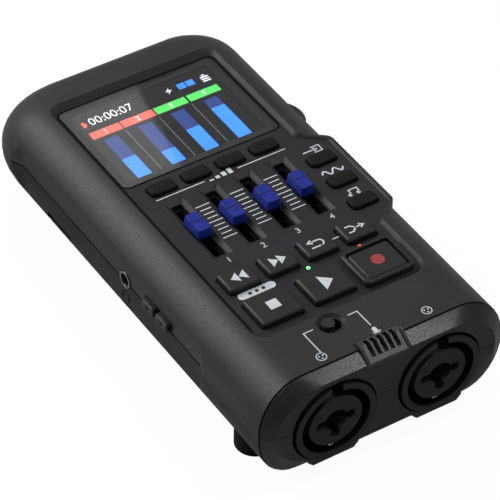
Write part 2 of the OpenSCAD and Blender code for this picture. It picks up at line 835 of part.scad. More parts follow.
module volume_switch_body() {
    color([0.6, 0.6, 0.62]) difference() {
        block([-volume_body_x, volume_y - volume_body_l / 2, volume_z - volume_stem_h / 2 - 1],
            [volume_body_w - volume_body_x, volume_y + volume_body_l / 2, board_z]);
        for (y = volume_at) volume_stem(y, gap, -side_x, volume_well - volume_body_x);
    }
}

// Volume button with bevelled edges, which is pressed into the side, and its stem
function on_side(pts, x, y) = [for (p = pts) [x, y + p.x, volume_z + p.y]];
module volume_key(y) {
    crown_x = -flat_x - volume_proud;
    foot = soft_box(volume_l, volume_h, 0.5);
    crown = soft_box(volume_l - 2 * volume_bevel, volume_h - 2 * volume_bevel, 0.4);
    color([0.12, 0.12, 0.13]) union() {
        loft([on_side(crown, crown_x, y), on_side(foot, crown_x + volume_bevel, y),
            on_side(foot, volume_back - flat_x, y)]);
        volume_stem(y, 0, -flat_x, volume_stem_end - volume_body_x);
    }
}

module volume_up_key() { volume_key(volume_at[0]); }
module volume_down_key() { volume_key(volume_at[1]); }

module source_switch_body() {
    color([0.6, 0.6, 0.62]) translate([source_x, source_y, 0]) difference() {
        slab(box_pts(source_body_w, source_body_l), cavity_top - source_body_t, cavity_top);
        slab(box_pts(source_stem + source_travel + 2 * gap, source_stem + 2 * gap),
            cavity_top - source_body_t + 0.3, cavity_top + over);
    }
}

module source_knob() {
    color([0.1, 0.1, 0.11]) translate([source_x - source_travel / 2, source_y, 0]) {
        translate([0, 0, cavity_top + gap]) cylinder(r = source_knob_r, h = top_z - cavity_top - gap + 0.5);
        slab(box_pts(source_stem, source_stem), cavity_top - source_body_t + 0.3 + gap, cavity_top + over);
    }
}

module dial_encoder() {
    color([0.55, 0.55, 0.58]) union() {
        translate([dial_x, dial_y, 0]) slab(box_pts(encoder_w, encoder_w), encoder_z, encoder_top);
        translate([dial_x, dial_y, dial_z + 0.2]) cylinder(r = dial_shaft_r, h = encoder_z - dial_z);
    }
}

// Ribbed thumb wheel on the encoder's shaft
module select_dial() {
    ribs = 36;
    color([0.1, 0.1, 0.11]) translate([dial_x, dial_y, dial_z]) difference() {
        union() {
            cylinder(r1 = dial_r - dial_edge, r2 = dial_r, h = dial_edge);
            translate([0, 0, dial_edge]) cylinder(r = dial_r, h = dial_t - 2 * dial_edge);
            translate([0, 0, dial_t - dial_edge])
                cylinder(r1 = dial_r, r2 = dial_r - dial_edge, h = dial_edge);
        }
        translate([0, 0, -over]) cylinder(r = dial_shaft_r + fit, h = dial_t + 2 * over);
        for (i = [0:ribs - 1]) rotate(i * 360 / ribs)
            translate([dial_r, 0, -over]) cylinder(r = 0.3, h = dial_t + 2 * over, $fn = 6);
    }
}

module fader_body(i) {
    color([0.62, 0.62, 0.64]) translate([lane_x[i], fader_y, 0]) difference() {
        slab(box_pts(fader_body_w, fader_body_l), board_top, board_top + fader_body_h);
        slab(box_pts(lever_w + 2 * gap, fader_travel + lever_l + 2 * gap), lever_z - gap, panel_z);
    }
}

module fader_body_1() { fader_body(0); }
module fader_body_2() { fader_body(1); }
module fader_body_3() { fader_body(2); }
module fader_body_4() { fader_body(3); }

// Fader cap with sloped sides, a scooped back and a lever through the slot
module fader_cap(i) {
    low = panel_z - 0.3;
    high = panel_z + cap_h;
    foot = soft_box(cap_w, cap_l, 0.5);
    crown = soft_box(cap_w - 0.7, cap_l - 0.8, 0.5);
    color([0.12, 0.18, 0.6]) translate([lane_x[i], fader_y, 0]) union() {
        difference() {
            loft([at(foot, low), at(foot, low + 0.5), at(crown, high)]);
            translate([0, 0, high + 0.1]) rotate([0, 90, 0])
                cylinder(r = 0.45, h = cap_w + over, center = true);
        }
        slab(box_pts(lever_w, lever_l), lever_z, low + 0.3);
    }
}

module fader_cap_1() { fader_cap(0); }
module fader_cap_2() { fader_cap(1); }
module fader_cap_3() { fader_cap(2); }
module fader_cap_4() { fader_cap(3); }

// Rubber button with a softly crowned top, held by its flange under the panel
module pad_button(p) {
    foot = soft_box(pad_w, pad_l, pad_r);
    crown = panel_z + pad_h;
    color([0.07, 0.07, 0.08]) translate([p.x, p.y, 0]) {
        loft([at(foot, flange_z - 0.1), at(foot, crown - 0.5),
            at(soft_box(pad_w - 0.4, pad_l - 0.4, pad_r - 0.1), crown - 0.15),
            at(soft_box(pad_w - 1.2, pad_l - 1.2, pad_r - 0.4), crown)]);
        flange(pad_w, pad_l);
    }
}

// Flange that stays under the panel, with the plunger that meets the switch
module flange(w, l) {
    slab(box_pts(w + 2 * flange_w, l + 2 * flange_w), flange_z - flange_t, flange_z);
    slab(box_pts(plunger_w, plunger_w), plunger_z, flange_z);
}

module track_button_1() { pad_button([lane_x[0], track_y]); }
module track_button_2() { pad_button([lane_x[1], track_y]); }
module track_button_3() { pad_button([lane_x[2], track_y]); }
module track_button_4() { pad_button([lane_x[3], track_y]); }
module function_button_1() { pad_button([function_x, function_y[0]]); }
module function_button_2() { pad_button([function_x, function_y[1]]); }
module function_button_3() { pad_button([function_x, function_y[2]]); }

// Hard key with bevelled edges, held by its flange under the panel
module key_button(p, w, l) {
    foot = soft_box(w, l, key_r);
    crown = panel_z + key_h;
    color([0.14, 0.14, 0.15]) translate([p.x, p.y, 0]) {
        loft([at(foot, flange_z - 0.1), at(foot, crown - key_bevel),
            at(soft_box(w - 2 * key_bevel, l - 2 * key_bevel, key_r - 0.1), crown)]);
        flange(w, l);
    }
}

module rewind_key() { key_button([key_x[0], key_y], key_w, key_l); }
module forward_key() { key_button([key_x[1], key_y], key_w, key_l); }
module undo_key() { key_button([key_x[2], key_y], key_w, key_l); }
module merge_key() { key_button([key_x[3], key_y], key_w, key_l); }
module stop_key() { key_button([big_x[0], big_y], big_w, big_l); }
module play_key() { key_button([big_x[1], big_y], big_w, big_l); }
module record_key() { key_button([big_x[2], big_y], big_w, big_l); }

module tact_switches() {
    color([0.5, 0.5, 0.52]) for (p = buttons) translate([p.x, p.y, 0]) {
        slab(box_pts(switch_w, switch_w), board_top, switch_top - 0.4);
        translate([0, 0, switch_top - 0.5]) cylinder(r = 1.1, h = 0.5);
    }
}

module lamp(x) {
    translate([x, lamp_y, board_top]) cylinder(r = lamp_r, h = panel_z + 0.1 - board_top);
}

module play_lamp() { color([0.4, 0.9, 0.4]) lamp(big_x[1]); }
module record_lamp() { color([0.9, 0.25, 0.25]) lamp(big_x[2]); }

module record_guard() {
    color([0.08, 0.08, 0.085]) translate([big_x[2], big_y, 0]) difference() {
        loft([at(soft_box(guard_w + 2 * guard_t, guard_l + 2 * guard_t, 1.6), panel_z),
            at(soft_box(guard_w + 2 * guard_t, guard_l + 2 * guard_t, 1.6), panel_z + guard_h - guard_bevel),
            at(soft_box(guard_w + 2 * (guard_t - guard_bevel), guard_l + 2 * (guard_t - guard_bevel), 1.3),
                panel_z + guard_h)]);
        slab(soft_box(guard_w, guard_l, 0.9), panel_z - over, panel_z + guard_h + over);
    }
}

// Sloped grille block over the chamfer, with slots along it and raised side walls
module mic_grille() {
    slots = 5;
    pitch = 1.8;
    slot = 1.15;
    color([0.1, 0.1, 0.105]) difference() {
        union() {
            grille_block(-grille_w / 2, grille_w, 0);
            for (x = [-grille_w / 2, grille_w / 2 - grille_wall]) grille_block(x, grille_wall, grille_rise);
        }
        for (i = [0:slots - 1])
            block([(i - (slots - 1) / 2) * pitch - slot / 2, face_y + grille_edge, top_z - top_drop],
                [(i - (slots - 1) / 2) * pitch + slot / 2, grille_y - grille_edge / 2, top_z + over]);
    }
}

module grille_block(x, w, raise) {
    low = top_z - grille_drop;
    crest = top_z + grille_rise + raise;
    front = top_z - top_drop + raise;
    translate([x, 0, 0]) rotate([90, 0, 90]) linear_extrude(w)
        polygon([[grille_y, low], [grille_y, top_z + fit], [bezel_y + fit, crest],
            [face_y + raise / 2, front], [face_y, front - grille_rise], [face_y, low]]);
}

module mic_capsules() {
    color([0.7, 0.7, 0.68])
        translate([0, face_y + mic_wall + seat + mic_r, cavity_top - seat - mic_h])
            cylinder(r = mic_r, h = mic_h);
}

module battery_cells() {
    color([0.75, 0.6, 0.3]) for (x = cell_x)
        along_y(x, bay_front + contact_t + seat, cell_z) {
            cylinder(d = cell_d, h = cell_l - cell_tip_l);
            cylinder(r = cell_tip_r, h = cell_l);
        }
}

module battery_contacts() {
    color([0.8, 0.8, 0.78]) for (x = cell_x) for (y = [bay_front, bay_rear - contact_t])
        translate([x - plate_w / 2, y, cell_z - plate_w / 2]) cube([plate_w, contact_t, plate_w]);
}

module battery_cover() {
    color([0.15, 0.15, 0.16]) difference() {
        union() {
            intersection() {
                difference() {
                    lower_outer();
                    lower_inner();
                }
                cover_plan(nose_y, 0, 0);
            }
            along_x(-nose_x, nose_y, nose_z) cylinder(r = nose_r, h = 2 * nose_x);
        }
        grip_cut();
    }
}

module usb_socket() {
    x0 = flat_x - 0.3 - usb_l;
    color([0.75, 0.75, 0.77]) difference() {
        block([x0, usb_y - usb_w / 2, board_z - usb_h], [flat_x - 0.3, usb_y + usb_w / 2, board_z]);
        difference() {
            block([x0 + 1, usb_y - usb_w / 2 + usb_wall, board_z - usb_h + usb_wall],
                [flat_x, usb_y + usb_w / 2 - usb_wall, board_z - usb_wall]);
            block([x0, usb_y - tongue_w / 2, board_z - usb_h / 2 - tongue_t / 2],
                [flat_x - 1, usb_y + tongue_w / 2, board_z - usb_h / 2 + tongue_t / 2]);
        }
    }
}

module card_socket() {
    x1 = flat_x - wall - side_room;
    color([0.7, 0.7, 0.72]) difference() {
        block([x1 - card_l, card_y - card_w / 2, board_z - card_h], [x1, card_y + card_w / 2, board_z]);
        block([x1 - card_l + 2, card_y - card_slot_w / 2, board_z - card_h / 2 - card_slot_h / 2],
            [x1 + over, card_y + card_slot_w / 2, board_z - card_h / 2 + card_slot_h / 2]);
    }
}

module case_screws() {
    color([0.3, 0.3, 0.31]) for (p = case_screws_at) {
        difference() {
            cylinder_at(p, screw_head_r, screw_z - screw_head_t, screw_z);
            for (a = [0, 90]) translate([p.x, p.y, screw_z - screw_head_t]) rotate(a)
                cube([2.4, 0.6, 1.2], center = true);
        }
        cylinder_at(p, screw_r, screw_z, screw_z + screw_l);
    }
}

module board_screws() {
    color([0.6, 0.6, 0.6]) for (p = board_screws_at) {
        cylinder_at(p, board_head_r, board_z - board_head_t, board_z);
        cylinder_at(p, board_screw_r, board_z, board_top + board_screw_l);
    }
}

// Feet cut to the curve of the lower case that they stand under
module foot_post(p, r) {
    cylinder_at(p, r, foot_edge, foot_h + foot_sink);
    translate([p.x, p.y, 0]) cylinder(r1 = r - foot_edge, r2 = r, h = foot_edge);
}

module front_feet() {
    color([0.06, 0.06, 0.065]) difference() {
        for (s = [-1, 1]) foot_post([s * foot_x, foot_y], foot_r);
        lower_outer();
    }
}

module rear_feet() {
    half = rear_foot_w / 2 - rear_foot_r;
    color([0.06, 0.06, 0.065]) difference() {
        for (s = [-1, 1]) {
            for (e = [-1, 1]) foot_post([s * rear_foot_x + e * half, rear_foot_y], rear_foot_r);
            translate([s * rear_foot_x, rear_foot_y, 0])
                slab(box_pts(2 * half, 2 * (rear_foot_r - foot_edge)), 0, foot_h + foot_sink);
            translate([s * rear_foot_x, rear_foot_y, 0])
                slab(box_pts(2 * half, 2 * rear_foot_r), foot_edge, foot_h + foot_sink);
        }
        lower_outer();
    }
}

upper_case();
control_panel();
lower_case();
front_bezel_upper();
front_bezel_lower();
display_window();
display_module();
main_board();
socket_board();
combo_shell_a();
combo_shell_b();
combo_insert_a();
combo_insert_b();
combo_contacts();
headphone_socket();
volume_switch_body();
source_switch_body();
dial_encoder();
fader_body_1();
fader_body_2();
fader_body_3();
fader_body_4();
tact_switches();
play_lamp();
record_lamp();
record_guard();
mic_grille();
mic_capsules();
battery_cells();
battery_contacts();
usb_socket();
card_socket();
case_screws();
board_screws();
front_feet();
rear_feet();
fader_cap_1();
fader_cap_2();
fader_cap_3();
fader_cap_4();
track_button_1();
track_button_2();
track_button_3();
track_button_4();
function_button_1();
function_button_2();
function_button_3();
rewind_key();
forward_key();
undo_key();
merge_key();
stop_key();
play_key();
record_key();
source_knob();
volume_up_key();
volume_down_key();
select_dial();
battery_cover();
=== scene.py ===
import math

import bmesh
import bpy
from mathutils import Matrix, Quaternion, Vector


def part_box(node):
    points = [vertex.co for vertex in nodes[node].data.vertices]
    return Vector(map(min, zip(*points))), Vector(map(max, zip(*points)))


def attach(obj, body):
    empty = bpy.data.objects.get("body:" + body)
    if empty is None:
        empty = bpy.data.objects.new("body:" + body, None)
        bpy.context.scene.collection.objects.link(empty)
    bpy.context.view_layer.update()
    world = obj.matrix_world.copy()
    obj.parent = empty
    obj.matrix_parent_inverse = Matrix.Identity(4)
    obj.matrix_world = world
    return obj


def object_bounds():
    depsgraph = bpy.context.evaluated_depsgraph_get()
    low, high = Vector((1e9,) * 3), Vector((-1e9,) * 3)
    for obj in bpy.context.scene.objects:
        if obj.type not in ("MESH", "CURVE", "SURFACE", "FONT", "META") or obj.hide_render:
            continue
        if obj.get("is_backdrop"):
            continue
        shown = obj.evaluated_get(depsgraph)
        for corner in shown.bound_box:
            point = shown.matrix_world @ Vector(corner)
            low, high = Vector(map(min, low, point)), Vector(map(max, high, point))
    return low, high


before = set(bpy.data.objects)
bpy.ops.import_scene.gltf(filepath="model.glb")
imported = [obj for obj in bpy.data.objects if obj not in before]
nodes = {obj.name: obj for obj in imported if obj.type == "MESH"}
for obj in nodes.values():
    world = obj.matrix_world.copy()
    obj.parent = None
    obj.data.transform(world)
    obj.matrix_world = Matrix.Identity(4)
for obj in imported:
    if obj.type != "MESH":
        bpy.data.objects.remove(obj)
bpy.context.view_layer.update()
MM = 0.001

# Part of a noise texture's range in which colour and gloss change
TONE_LOW, TONE_HIGH = 0.3, 0.7


# Material helpers
def new_material(name):
    material = bpy.data.materials.new(name)
    material.use_nodes = True
    tree = material.node_tree
    return material, tree.nodes, tree.links, tree.nodes["Principled BSDF"]


def add_node(tree_nodes, kind, **values):
    node = tree_nodes.new(kind)
    for key, value in values.items():
        setattr(node, key, value)
    return node


def noise(tn, links, scale, detail=3.0, rough=0.55):
    coords = add_node(tn, "ShaderNodeTexCoord")
    tex = add_node(tn, "ShaderNodeTexNoise")
    tex.inputs["Scale"].default_value = scale
    tex.inputs["Detail"].default_value = detail
    tex.inputs["Roughness"].default_value = rough
    links.new(coords.outputs["Object"], tex.inputs["Vector"])
    return tex.outputs["Fac"]


def ramp(tn, links, source, first, last):
    """Colour ramp between two (place, colour) stops."""
    node = add_node(tn, "ShaderNodeValToRGB")
    for element, (place, colour) in zip(node.color_ramp.elements, (first, last)):
        element.position = place
        element.color = (*colour, 1)
    links.new(source, node.inputs["Fac"])
    return node.outputs["Color"]


def span(tn, links, source, low, high):
    node = add_node(tn, "ShaderNodeMapRange")
    node.inputs["From Min"].default_value = TONE_LOW
    node.inputs["From Max"].default_value = TONE_HIGH
    node.inputs["To Min"].default_value = low
    node.inputs["To Max"].default_value = high
    links.new(source, node.inputs["Value"])
    return node.outputs["Result"]


def scaled(colour, factor):
    return tuple(min(1.0, c * factor) for c in colour)


def surface(name, colour, rough=0.5, spread=0.08, tint=0.12, cloud=60.0, grain=3000.0, bump=0.25,
            depth=0.00004, metallic=0.0, specular=0.5, edge=0.00018):
    """A moulded or metal surface: clouded colour, uneven gloss, fine grain and softened edges."""
    material, tn, links, shader = new_material(name)
    broad = noise(tn, links, cloud, 4.0)
    fine = noise(tn, links, grain, 2.0, 0.6)
    dark, pale = scaled(colour, 1 - tint), scaled(colour, 1 + tint)
    links.new(ramp(tn, links, broad, (TONE_LOW, dark), (TONE_HIGH, pale)), shader.inputs["Base Color"])
    links.new(span(tn, links, fine, rough - spread, rough + spread), shader.inputs["Roughness"])
    shader.inputs["Metallic"].default_value = metallic
    shader.inputs["Specular IOR Level"].default_value = specular
    bump_node = add_node(tn, "ShaderNodeBump")
    bump_node.inputs["Strength"].default_value = bump
    bump_node.inputs["Distance"].default_value = depth
    links.new(fine, bump_node.inputs["Height"])
    if edge:
        bevel = add_node(tn, "ShaderNodeBevel", samples=4)
        bevel.inputs["Radius"].default_value = edge
        links.new(bevel.outputs["Normal"], bump_node.inputs["Normal"])
    links.new(bump_node.outputs["Normal"], shader.inputs["Normal"])
    return material


def lit(name, colour, strength=1.0, dim=0.92, cells=4200.0):
    """A lit picture element or lamp with the faint unevenness of its cells."""
    material, tn, links, shader = new_material(name)
    grid = noise(tn, links, cells, 1.0)
    shade = ramp(tn, links, grid, (0.35, scaled(colour, dim)), (0.65, colour))
    links.new(shade, shader.inputs["Emission Color"])
    links.new(shade, shader.inputs["Base Color"])
    shader.inputs["Emission Strength"].default_value = strength
    shader.inputs["Roughness"].default_value = 0.6
    shader.inputs["Specular IOR Level"].default_value = 0.1
    return material


def glass(name, tint):
    """Clear glass with a faint smear."""
    material, tn, links, shader = new_material(name)
    smear = noise(tn, links, 90.0, 5.0)
    links.new(ramp(tn, links, smear, (TONE_LOW, scaled(tint, 0.97)), (TONE_HIGH, tint)), shader.inputs["Base Color"])
    links.new(span(tn, links, smear, 0.015, 0.04), shader.inputs["Roughness"])
    shader.inputs["Transmission Weight"].default_value = 1.0
    shader.inputs["IOR"].default_value = 1.45
    return material


# Case, keys and other plastics
M_CASE = surface("case_satin", (0.022, 0.022, 0.0234), rough=0.46, bump=0.7, grain=2600, specular=0.22)
M_PANEL = surface("panel_satin", (0.0175, 0.0175, 0.020), rough=0.46, bump=0.4, grain=3200, specular=0.2)
M_LOWER = surface("lower_satin", (0.0135, 0.0135, 0.0143), rough=0.5, bump=0.6, grain=2600, specular=0.15)
M_BEZEL = surface("bezel_satin", (0.0075, 0.0075, 0.0078), rough=0.36, bump=0.4, grain=2600, specular=0.38)
M_KEY = surface("key_satin", (0.017, 0.017, 0.0174), rough=0.42, bump=0.2, grain=3400, specular=0.22,
                edge=0.00015)
M_PAD = surface("button_rubber", (0.0065, 0.0065, 0.007), rough=0.62, bump=0.3, grain=3600, specular=0.12,
                edge=0.0003)
M_KNOB = surface("knob_satin", (0.020, 0.020, 0.021), rough=0.4, bump=0.15, specular=0.25, edge=0.0002)
M_BLUE = surface("fader_blue", (0.010, 0.022, 0.20), rough=0.4, bump=0.15, tint=0.18, cloud=240, specular=0.2,
                 edge=0.0002)
# Black socket plastic; the same colour also paints shade on the raised pin numbers
M_SOCKET_AND_SHADE = surface("socket_black", (0.006, 0.006, 0.0063), rough=0.36, bump=0.2, specular=0.28, edge=0.0003)
M_INSERT = surface("insert_grey", (0.024, 0.024, 0.0248), rough=0.5, bump=0.2, specular=0.15, edge=0.0002)
M_GRILLE = surface("grille_satin", (0.018, 0.018, 0.019), rough=0.36, bump=0.4, grain=2600, specular=0.6)
M_FOOT = surface("foot_rubber", (0.006, 0.006, 0.0065), rough=0.75, bump=0.4, grain=2200, specular=0.1)
# Metals, switch bodies, boards and cells
M_NICKEL = surface("nickel", (0.55, 0.53, 0.50), rough=0.24, metallic=1.0, bump=0.06, tint=0.06)
M_CONTACT = surface("contact", (0.86, 0.85, 0.80), rough=0.2, metallic=1.0, bump=0.06, tint=0.08)
M_RING = surface("dark_nickel", (0.22, 0.22, 0.215), rough=0.3, metallic=1.0, bump=0.06, tint=0.06)
M_STEEL = surface("dark_steel", (0.10, 0.10, 0.105), rough=0.36, metallic=1.0, bump=0.1)
# Near-black switch plastic; the same colour also paints shade round the window, along the panel's left edge, in the
# left side's parting groove and on the raised side marks
M_SWITCH_AND_SHADE = surface("switch_plastic", (0.004, 0.004, 0.0042), rough=0.6, specular=0.05)
M_BOARD = surface("board_green", (0.012, 0.085, 0.03), rough=0.4, tint=0.25, cloud=300)
M_CELL = surface("cell_wrap", (0.34, 0.23, 0.06), rough=0.3, metallic=0.4, tint=0.15, cloud=35)
# Print, window, lamps and the picture on the display
M_PRINT = surface("print_grey", (0.50, 0.53, 0.55), rough=0.55, tint=0.06, cloud=600, bump=0.08, edge=0)
M_DOT = surface("record_dot", (0.27, 0.03, 0.035), rough=0.5, tint=0.1, cloud=500, bump=0.08, edge=0)
M_MASK = surface("window_mask", (0.022, 0.022, 0.023), rough=0.5, tint=0.06, bump=0.0, edge=0)
M_GLASS = glass("window_glass", (0.93, 0.94, 0.95))
M_LAMP_G = lit("lamp_green", (0.20, 0.95, 0.26), 1.0)
M_LAMP_R = lit("lamp_red", (0.70, 0.08, 0.08), 0.8)
# Dark screen background; the same colour also paints shade in the parting line across the front face
M_SCREEN_BACK_AND_SHADE = lit("screen_back", (0.004, 0.004, 0.0043), 1.0, 0.85)
M_WHITE = lit("screen_white", (0.86, 0.87, 0.88), 0.85, 0.96)
M_RED = lit("screen_red", (1.0, 0.15, 0.11), 0.8, 0.94)
M_GREEN = lit("screen_green", (0.11, 0.72, 0.14), 0.75, 0.94)
M_BRIGHT = lit("screen_blue", (0.05, 0.29, 1.0), 0.8, 0.94)
M_DIM = lit("screen_blue_dim", (0.024, 0.055, 0.23), 0.8, 0.85)
M_GREY = lit("screen_grey", (0.12, 0.12, 0.125), 1.0, 0.9)

NODE_LOOK = {
    "upper_case": M_CASE, "control_panel": M_PANEL, "lower_case": M_LOWER, "battery_cover": M_LOWER,
    "front_bezel_upper": M_BEZEL, "front_bezel_lower": M_BEZEL, "display_window": M_GLASS,
    "display_module": M_MASK, "main_board": M_BOARD, "socket_board": M_BOARD,
    "combo_shell_a": M_SOCKET_AND_SHADE, "combo_shell_b": M_SOCKET_AND_SHADE, "combo_insert_a": M_INSERT,
    "combo_insert_b": M_INSERT, "combo_contacts": M_CONTACT, "headphone_socket": M_RING,
    "volume_switch_body": M_STEEL, "source_switch_body": M_STEEL, "dial_encoder": M_STEEL,
    "tact_switches": M_SWITCH_AND_SHADE, "play_lamp": M_LAMP_G, "record_lamp": M_LAMP_R, "record_guard": M_KEY,
    "mic_grille": M_GRILLE, "mic_capsules": M_NICKEL, "battery_cells": M_CELL, "battery_contacts": M_NICKEL,
    "usb_socket": M_NICKEL, "card_socket": M_STEEL, "case_screws": M_STEEL, "board_screws": M_STEEL,
    "front_feet": M_FOOT, "rear_feet": M_FOOT, "source_knob": M_KNOB, "volume_up_key": M_KNOB,
    "volume_down_key": M_KNOB, "select_dial": M_KNOB,
}
TRACK_NUMBERS, FUNCTION_NUMBERS = range(1, 5), range(1, 4)
for i in TRACK_NUMBERS:
    NODE_LOOK["fader_body_%d" % i] = M_SWITCH_AND_SHADE
    NODE_LOOK["fader_cap_%d" % i] = M_BLUE
    NODE_LOOK["track_button_%d" % i] = M_PAD
for i in FUNCTION_NUMBERS:
    NODE_LOOK["function_button_%d" % i] = M_PAD
for key in ("rewind_key", "forward_key", "undo_key", "merge_key", "stop_key", "play_key", "record_key"):
    NODE_LOOK[key] = M_KEY


# Smooth shading for the CAD meshes, kept sharp over real edges
SMOOTH_ANGLE = 28
WELD = 0.000002


def smooth_group(angle):
    group = bpy.data.node_groups.new("smooth_%d" % angle, "GeometryNodeTree")
    group.interface.new_socket("Geometry", in_out="INPUT", socket_type="NodeSocketGeometry")
    group.interface.new_socket("Geometry", in_out="OUTPUT", socket_type="NodeSocketGeometry")
    gn, links = group.nodes, group.links
    start, end = gn.new("NodeGroupInput"), gn.new("NodeGroupOutput")
    plain = gn.new("GeometryNodeRemoveAttribute")
    plain.inputs["Name"].default_value = "custom_normal"
    merge = gn.new("GeometryNodeMergeByDistance")
    merge.inputs["Distance"].default_value = WELD
    faces = add_node(gn, "GeometryNodeSetShadeSmooth", domain="FACE")
    faces.inputs["Shade Smooth"].default_value = True
    edges = add_node(gn, "GeometryNodeSetShadeSmooth", domain="EDGE")
    edges.inputs["Shade Smooth"].default_value = False
    fold = gn.new("GeometryNodeInputMeshEdgeAngle")
    over = add_node(gn, "FunctionNodeCompare", data_type="FLOAT", operation="GREATER_THAN")
    over.inputs["B"].default_value = math.radians(angle)
    links.new(start.outputs[0], plain.inputs["Geometry"])
    links.new(plain.outputs["Geometry"], merge.inputs["Geometry"])
    links.new(merge.outputs["Geometry"], faces.inputs["Geometry"])
    links.new(faces.outputs["Geometry"], edges.inputs["Geometry"])
    links.new(fold.outputs["Unsigned Angle"], over.inputs["A"])
    links.new(over.outputs["Result"], edges.inputs["Selection"])
    links.new(edges.outputs["Geometry"], end.inputs[0])
    return group


SMOOTH = smooth_group(SMOOTH_ANGLE)
for name, node in nodes.items():
    node.data.materials.clear()
    node.data.materials.append(NODE_LOOK[name])
    modifier = node.modifiers.new("smooth", "NODES")
    modifier.node_group = SMOOTH


# Mesh helpers: all sizes in millimetres
def prism(bm, points, low, high, place=None):
    rings = [[bm.verts.new((place or Matrix()) @ Vector((x * MM, y * MM, z * MM))) for x, y in points]
             for z in (low, high)]
    count = len(points)
    bm.faces.new(list(reversed(rings[0])))
    bm.faces.new(rings[1])
    for a in range(count):
        b = (a + 1) % count
        bm.faces.new((rings[0][a], rings[0][b], rings[1][b], rings[1][a]))


def bar(bm, x0, y0, x1, y1, low, high, place=None):
    prism(bm, [(x0, y0), (x1, y0), (x1, y1), (x0, y1)], low, high, place)


def stroke(bm, points, width, low, high, place=None):
    """A flat ribbon along the points, as one closed strip with square ends, or a ring if it closes."""
    closed = math.dist(points[0], points[-1]) < 1e-6
    line = [Vector(p) for p in (points[:-1] if closed else points)]
    count = len(line)
    rings = []
    for i, here in enumerate(line):
        before = line[i - 1] if closed or i else None
        after = line[(i + 1) % count] if closed or i < count - 1 else None
        way_in = (here - before).normalized() if before else (after - here).normalized()
        way_out = (after - here).normalized() if after else way_in
        mean = (way_in + way_out).normalized()
        across = Vector((-mean.y, mean.x)) * (width / 2 / max(0.5, mean.dot(way_in)))
        if before is None:
            here = here - way_out * width / 2
        if after is None:
            here = here + way_in * width / 2
        corners = ((here - across, low), (here + across, low), (here + across, high), (here - across, high))
        rings.append([bm.verts.new((place or Matrix()) @ Vector((p.x * MM, p.y * MM, z * MM)))
                      for p, z in corners])
    for i in range(count if closed else count - 1):
        one, two = rings[i], rings[(i + 1) % count]
        for a in range(4):
            b = (a + 1) % 4
            bm.faces.new((one[a], one[b], two[b], two[a]))
    if not closed:
        bm.faces.new(list(reversed(rings[0])))
        bm.faces.new(rings[-1])


def polar(cx, cy, radius, degrees):
    return cx + radius * math.cos(math.radians(degrees)), cy + radius * math.sin(math.radians(degrees))


def arc(cx, cy, radius, start, end, count):
    return [polar(cx, cy, radius, start + (end - start) * i / count) for i in range(count + 1)]


def disc(bm, cx, cy, radius, low, high, count):
    prism(bm, arc(cx, cy, radius, 0, 360, count)[:-1], low, high)


# Height of the built-in font's numbers as a share of its size
FONT_SHARE = 0.72


def digits(bm, words, height, cx, cy, low, high, stretch=1.0, place=None):
    curve = bpy.data.curves.new("digits", "FONT")
    curve.body = words
    curve.size = height * MM / FONT_SHARE
    curve.align_x = "CENTER"
    curve.align_y = "CENTER"
    curve.extrude = (high - low) / 2 * MM
    curve.resolution_u = 4
    holder = bpy.data.objects.new("digits", curve)
    bpy.context.scene.collection.objects.link(holder)
    graph = bpy.context.evaluated_depsgraph_get()
    mesh = bpy.data.meshes.new_from_object(holder.evaluated_get(graph))
    shift = Matrix.Translation((cx * MM, cy * MM, (low + high) / 2 * MM))
    mesh.transform((place or Matrix()) @ shift @ Matrix.Diagonal((stretch, 1, 1, 1)))
    bm.from_mesh(mesh)
    bpy.data.meshes.remove(mesh)
    bpy.data.objects.remove(holder)
    bpy.data.curves.remove(curve)


def add_piece(name, bm, material, body):
    mesh = bpy.data.meshes.new(name)
    bmesh.ops.recalc_face_normals(bm, faces=bm.faces)
    bm.to_mesh(mesh)
    bm.free()
    mesh.materials.append(material)
    piece = bpy.data.objects.new(name, mesh)
    bpy.context.scene.collection.objects.link(piece)
    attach(piece, body)


def middle(name):
    low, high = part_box(name)
    return (low.x + high.x) / 2 / MM, (low.y + high.y) / 2 / MM


def top(name):
    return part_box(name)[1].z / MM


# Faces that print lies on: x to the right, y up and z outwards
def front_face(x, y, z):
    return Matrix(((1, 0, 0, x), (0, 0, -1, y), (0, 1, 0, z), (0, 0, 0, 1)))


def left_face(x):
    return Matrix(((0, 0, -1, x), (-1, 0, 0, 0), (0, 1, 0, 0), (0, 0, 0, 1)))


# Half thickness of print and of the painted shade strips and marks, and the widths of their lines
FILM = 0.03
HAIR, LINE, NOTE_LINE, ARROW_LINE, KEY_LINE, WAVE_LINE = 0.24, 0.3, 0.34, 0.36, 0.42, 0.46
PANEL_Z = top("control_panel")
RIM_Z = top("upper_case")
PART_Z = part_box("upper_case")[0].z / MM
LANES = [middle("fader_cap_%d" % i) for i in TRACK_NUMBERS]
TRACKS = [middle("track_button_%d" % i) for i in TRACK_NUMBERS]
FUNCTIONS = [middle("function_button_%d" % i) for i in FUNCTION_NUMBERS]


# Pictograms of the function buttons
def input_mark(bm, x, y, a, b):
    stroke(bm, [(x - 2.6, y), (x + 0.8, y)], ARROW_LINE, a, b)
    prism(bm, [(x + 0.3, y - 0.85), (x + 1.6, y), (x + 0.3, y + 0.85)], a, b)
    stroke(bm, [(x + 0.2, y + 1.1), (x + 2.4, y + 1.1), (x + 2.4, y - 1.1), (x + 0.2, y - 1.1)], LINE, a, b)


def wave_mark(bm, x, y, a, b):
    run, step, height, turn = 6, 0.25, 0.85, 120
    points = [(x - run / 2 + step * i, y + height * math.sin(math.radians(step * i * turn)))
              for i in range(int(run / step) + 1)]
    stroke(bm, points, WAVE_LINE, a, b)


def note_mark(bm, x, y, a, b):
    disc(bm, x - 1.3, y - 0.75, 0.55, a, b, 16)
    disc(bm, x + 1.1, y - 0.75, 0.55, a, b, 16)
    stroke(bm, [(x - 0.9, y - 0.75), (x - 0.9, y + 1.0), (x + 1.5, y + 1.0), (x + 1.5, y - 0.75)],
           NOTE_LINE, a, b)


